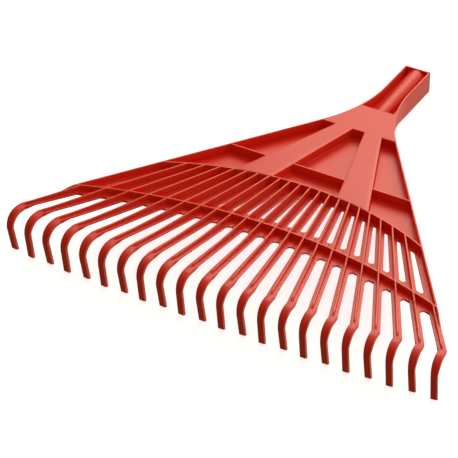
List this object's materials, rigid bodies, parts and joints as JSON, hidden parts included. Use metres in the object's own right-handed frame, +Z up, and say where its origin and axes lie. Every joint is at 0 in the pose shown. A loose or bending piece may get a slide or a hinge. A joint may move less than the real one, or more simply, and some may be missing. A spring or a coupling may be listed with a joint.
{
  "type": "leaf rake head",
  "caption": "Fan-shaped moulded plastic leaf rake head with sprung hooked tines, ribbed web, raised spokes and a tapered socket for a wooden handle.",
  "frame": {"origin": "centre of the footprint on the ground that the outer tine tips and the lower edge of the socket mouth rest on", "axes": "+X across the head towards tine 22; +Y from the tines towards the socket; +Z up. The ribbed face looks up and the hooks point down"},
  "size_m": [0.6264, 0.5874, 0.0626],
  "materials": {
    "red_plastic": "satin moulded polypropylene, red-orange, slightly translucent at thin edges"
  },
  "bodies": {
    "head": {"slot_bar_01": "red_plastic", "slot_bar_02": "red_plastic", "slot_bar_03": "red_plastic", "slot_bar_04": "red_plastic", "slot_bar_05": "red_plastic", "slot_bar_06": "red_plastic", "slot_bar_07": "red_plastic", "slot_bar_08": "red_plastic", "slot_bar_09": "red_plastic", "slot_bar_10": "red_plastic", "slot_bar_11": "red_plastic", "slot_bar_12": "red_plastic", "slot_bar_13": "red_plastic", "slot_bar_14": "red_plastic", "slot_bar_15": "red_plastic", "slot_bar_16": "red_plastic", "slot_bar_17": "red_plastic", "slot_bar_18": "red_plastic", "slot_bar_19": "red_plastic", "slot_bar_20": "red_plastic", "slot_bar_21": "red_plastic", "slot_bar_22": "red_plastic", "tine_root_band": "red_plastic", "rear_arc_rib": "red_plastic", "side_rail_right": "red_plastic", "side_rail_left": "red_plastic", "spoke_right": "red_plastic", "spoke_left": "red_plastic", "bay_right": "red_plastic", "bay_centre": "red_plastic", "bay_left": "red_plastic", "neck_plate": "red_plastic", "socket_side_right": "red_plastic", "socket_side_left": "red_plastic", "socket_tube": "red_plastic", "socket_end_wall": "red_plastic"},
    "tine_01": {"tine_01": "red_plastic"},
    "tine_02": {"tine_02": "red_plastic"},
    "tine_03": {"tine_03": "red_plastic"},
    "tine_04": {"tine_04": "red_plastic"},
    "tine_05": {"tine_05": "red_plastic"},
    "tine_06": {"tine_06": "red_plastic"},
    "tine_07": {"tine_07": "red_plastic"},
    "tine_08": {"tine_08": "red_plastic"},
    "tine_09": {"tine_09": "red_plastic"},
    "tine_10": {"tine_10": "red_plastic"},
    "tine_11": {"tine_11": "red_plastic"},
    "tine_12": {"tine_12": "red_plastic"},
    "tine_13": {"tine_13": "red_plastic"},
    "tine_14": {"tine_14": "red_plastic"},
    "tine_15": {"tine_15": "red_plastic"},
    "tine_16": {"tine_16": "red_plastic"},
    "tine_17": {"tine_17": "red_plastic"},
    "tine_18": {"tine_18": "red_plastic"},
    "tine_19": {"tine_19": "red_plastic"},
    "tine_20": {"tine_20": "red_plastic"},
    "tine_21": {"tine_21": "red_plastic"},
    "tine_22": {"tine_22": "red_plastic"}
  },
  "joints": [
    {"name": "tine_01_flex", "type": "hinge", "parent": "head", "child": "tine_01", "pos_m": [-0.28267, -0.2214, 0.05777], "axis": [-0.8266, 0.5617, -0.0345], "range_deg": [-6, 12], "stiffness_Nm_per_rad": 7.3},
    {"name": "tine_02_flex", "type": "hinge", "parent": "head", "child": "tine_02", "pos_m": [-0.24834, -0.2115, 0.05711], "axis": [-0.8526, 0.5215, -0.032], "range_deg": [-6, 12], "stiffness_Nm_per_rad": 7.3},
    {"name": "tine_03_flex", "type": "hinge", "parent": "head", "child": "tine_03", "pos_m": [-0.2172, -0.20406, 0.05659], "axis": [-0.8777, 0.4783, -0.0293], "range_deg": [-6, 12], "stiffness_Nm_per_rad": 7.3},
    {"name": "tine_04_flex", "type": "hinge", "parent": "head", "child": "tine_04", "pos_m": [-0.18827, -0.19836, 0.05618], "axis": [-0.9015, 0.4321, -0.0265], "range_deg": [-6, 12], "stiffness_Nm_per_rad": 7.3},
    {"name": "tine_05_flex", "type": "hinge", "parent": "head", "child": "tine_05", "pos_m": [-0.16093, -0.19396, 0.05586], "axis": [-0.9236, 0.3827, -0.0235], "range_deg": [-6, 12], "stiffness_Nm_per_rad": 7.3},
    {"name": "tine_06_flex", "type": "hinge", "parent": "head", "child": "tine_06", "pos_m": [-0.13472, -0.19057, 0.05561], "axis": [-0.9437, 0.3302, -0.0203], "range_deg": [-6, 12], "stiffness_Nm_per_rad": 7.3},
    {"name": "tine_07_flex", "type": "hinge", "parent": "head", "child": "tine_07", "pos_m": [-0.10934, -0.18798, 0.05541], "axis": [-0.9613, 0.2749, -0.0169], "range_deg": [-6, 12], "stiffness_Nm_per_rad": 7.3},
    {"name": "tine_08_flex", "type": "hinge", "parent": "head", "child": "tine_08", "pos_m": [-0.08454, -0.18605, 0.05526], "axis": [-0.9761, 0.2169, -0.0133], "range_deg": [-6, 12], "stiffness_Nm_per_rad": 7.3},
    {"name": "tine_09_flex", "type": "hinge", "parent": "head", "child": "tine_09", "pos_m": [-0.06014, -0.18468, 0.05516], "axis": [-0.9876, 0.1567, -0.0096], "range_deg": [-6, 12], "stiffness_Nm_per_rad": 7.3},
    {"name": "tine_10_flex", "type": "hinge", "parent": "head", "child": "tine_10", "pos_m": [-0.03599, -0.18381, 0.05509], "axis": [-0.9955, 0.0947, -0.0058], "range_deg": [-6, 12], "stiffness_Nm_per_rad": 7.3},
    {"name": "tine_11_flex", "type": "hinge", "parent": "head", "child": "tine_11", "pos_m": [-0.01198, -0.18338, 0.05505], "axis": [-0.9995, 0.0317, -0.0019], "range_deg": [-6, 12], "stiffness_Nm_per_rad": 7.3},
    {"name": "tine_12_flex", "type": "hinge", "parent": "head", "child": "tine_12", "pos_m": [0.01198, -0.18338, 0.05505], "axis": [-0.9995, -0.0317, 0.0019], "range_deg": [-6, 12], "stiffness_Nm_per_rad": 7.3},
    {"name": "tine_13_flex", "type": "hinge", "parent": "head", "child": "tine_13", "pos_m": [0.03599, -0.18381, 0.05509], "axis": [-0.9955, -0.0947, 0.0058], "range_deg": [-6, 12], "stiffness_Nm_per_rad": 7.3},
    {"name": "tine_14_flex", "type": "hinge", "parent": "head", "child": "tine_14", "pos_m": [0.06014, -0.18468, 0.05516], "axis": [-0.9876, -0.1567, 0.0096], "range_deg": [-6, 12], "stiffness_Nm_per_rad": 7.3},
    {"name": "tine_15_flex", "type": "hinge", "parent": "head", "child": "tine_15", "pos_m": [0.08454, -0.18605, 0.05526], "axis": [-0.9761, -0.2169, 0.0133], "range_deg": [-6, 12], "stiffness_Nm_per_rad": 7.3},
    {"name": "tine_16_flex", "type": "hinge", "parent": "head", "child": "tine_16", "pos_m": [0.10934, -0.18798, 0.05541], "axis": [-0.9613, -0.2749, 0.0169], "range_deg": [-6, 12], "stiffness_Nm_per_rad": 7.3},
    {"name": "tine_17_flex", "type": "hinge", "parent": "head", "child": "tine_17", "pos_m": [0.13472, -0.19057, 0.05561], "axis": [-0.9437, -0.3302, 0.0203], "range_deg": [-6, 12], "stiffness_Nm_per_rad": 7.3},
    {"name": "tine_18_flex", "type": "hinge", "parent": "head", "child": "tine_18", "pos_m": [0.16093, -0.19396, 0.05586], "axis": [-0.9236, -0.3827, 0.0235], "range_deg": [-6, 12], "stiffness_Nm_per_rad": 7.3},
    {"name": "tine_19_flex", "type": "hinge", "parent": "head", "child": "tine_19", "pos_m": [0.18827, -0.19836, 0.05618], "axis": [-0.9015, -0.4321, 0.0265], "range_deg": [-6, 12], "stiffness_Nm_per_rad": 7.3},
    {"name": "tine_20_flex", "type": "hinge", "parent": "head", "child": "tine_20", "pos_m": [0.2172, -0.20406, 0.05659], "axis": [-0.8777, -0.4783, 0.0293], "range_deg": [-6, 12], "stiffness_Nm_per_rad": 7.3},
    {"name": "tine_21_flex", "type": "hinge", "parent": "head", "child": "tine_21", "pos_m": [0.24834, -0.2115, 0.05711], "axis": [-0.8526, -0.5215, 0.032], "range_deg": [-6, 12], "stiffness_Nm_per_rad": 7.3},
    {"name": "tine_22_flex", "type": "hinge", "parent": "head", "child": "tine_22", "pos_m": [0.28267, -0.2214, 0.05777], "axis": [-0.8266, -0.5617, 0.0345], "range_deg": [-6, 12], "stiffness_Nm_per_rad": 7.3}
  ]
}
